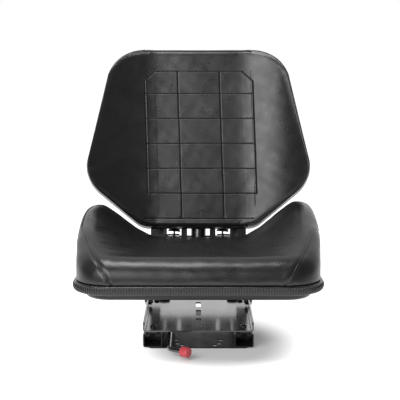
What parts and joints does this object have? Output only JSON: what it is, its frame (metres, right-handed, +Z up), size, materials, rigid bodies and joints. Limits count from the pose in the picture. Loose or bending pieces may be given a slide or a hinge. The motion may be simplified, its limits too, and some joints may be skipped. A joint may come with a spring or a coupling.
{
  "type": "tractor seat",
  "caption": "Black padded tractor seat with wrap-around backrest, raised side bolsters, a sprung rear column and slide rails with a red-knobbed latch lever.",
  "frame": {"origin": "centre of the floor plate's underside, which is also the centre of its bolt patterns", "axes": "+Z up, the sitter faces -Y, +X to the viewer's right from the front"},
  "size_m": [0.4846, 0.5291, 0.5744],
  "materials": {
    "black_enamel": "gloss",
    "zinc_plate": "satin",
    "spring_steel": "satin",
    "black_vinyl": "satin grain",
    "black_edging": "ribbed",
    "black_nylon": "matt",
    "black_rubber": "matt",
    "red_grip": "satin"
  },
  "bodies": {
    "base": {"floor_plate": "black_enamel", "lower_rail_left": "black_enamel", "lower_rail_right": "black_enamel"},
    "carriage": {"upper_rail_left": "black_enamel", "upper_rail_right": "black_enamel", "rail_glide_front_left": "black_nylon", "rail_glide_front_right": "black_nylon", "rail_glide_rear_left": "black_nylon", "rail_glide_rear_right": "black_nylon", "suspension_tray": "black_enamel", "rail_bolts": "black_enamel", "side_bolt_left": "zinc_plate", "side_bolt_right": "zinc_plate", "bump_stop_left": "black_rubber", "bump_stop_right": "black_rubber", "guide_channel_left": "black_enamel", "guide_channel_right": "black_enamel", "head_bar": "black_enamel", "column_tie_plate": "black_enamel", "spring_eye_bolt_left": "zinc_plate", "spring_eye_bolt_right": "zinc_plate", "spring_left": "spring_steel", "spring_right": "spring_steel", "damper_tube": "black_enamel", "damper_pin_lower": "zinc_plate", "damper_foot_bracket": "black_enamel", "lever_pivot_pin": "zinc_plate", "lever_spring": "spring_steel"},
    "seat": {"seat_side_plate_left": "black_enamel", "seat_side_plate_right": "black_enamel", "guide_shoe_lower_left": "black_nylon", "guide_shoe_lower_right": "black_nylon", "guide_shoe_upper_left": "black_nylon", "guide_shoe_upper_right": "black_nylon", "back_plate": "black_enamel", "pan_crossbar_front": "black_enamel", "pan_crossbar_rear": "black_enamel", "spring_pin_left": "zinc_plate", "spring_pin_right": "zinc_plate", "damper_rod": "zinc_plate", "damper_pin_upper": "zinc_plate", "seat_pan": "black_enamel", "seat_edge_trim": "black_edging", "pan_bolts": "zinc_plate", "seat_cushion": "black_vinyl", "backrest_shell": "black_enamel", "backrest_edge_trim": "black_edging", "backrest_pad": "black_vinyl", "backrest_bolts": "zinc_plate"},
    "lever": {"slide_lever": "black_enamel", "lever_knob": "red_grip"}
  },
  "joints": [
    {"name": "seat_slide", "type": "slide", "parent": "base", "child": "carriage", "axis": [0, 1, 0], "range_m": [-0.075, 0.075]},
    {"name": "suspension", "type": "slide", "parent": "carriage", "child": "seat", "axis": [0, 0.2079, 0.9781], "range_m": [-0.06, 0], "stiffness_N_per_m": 8000, "springref_m": 0.05, "deforming": ["spring_left", "spring_right"]},
    {"name": "lever_swing", "type": "hinge", "parent": "carriage", "child": "lever", "pos_m": [-0.057, -0.035, 0.016], "axis": [0, 0, 1], "range_deg": [0, 8], "stiffness_Nm_per_rad": 2, "springref_deg": -5.73}
  ]
}
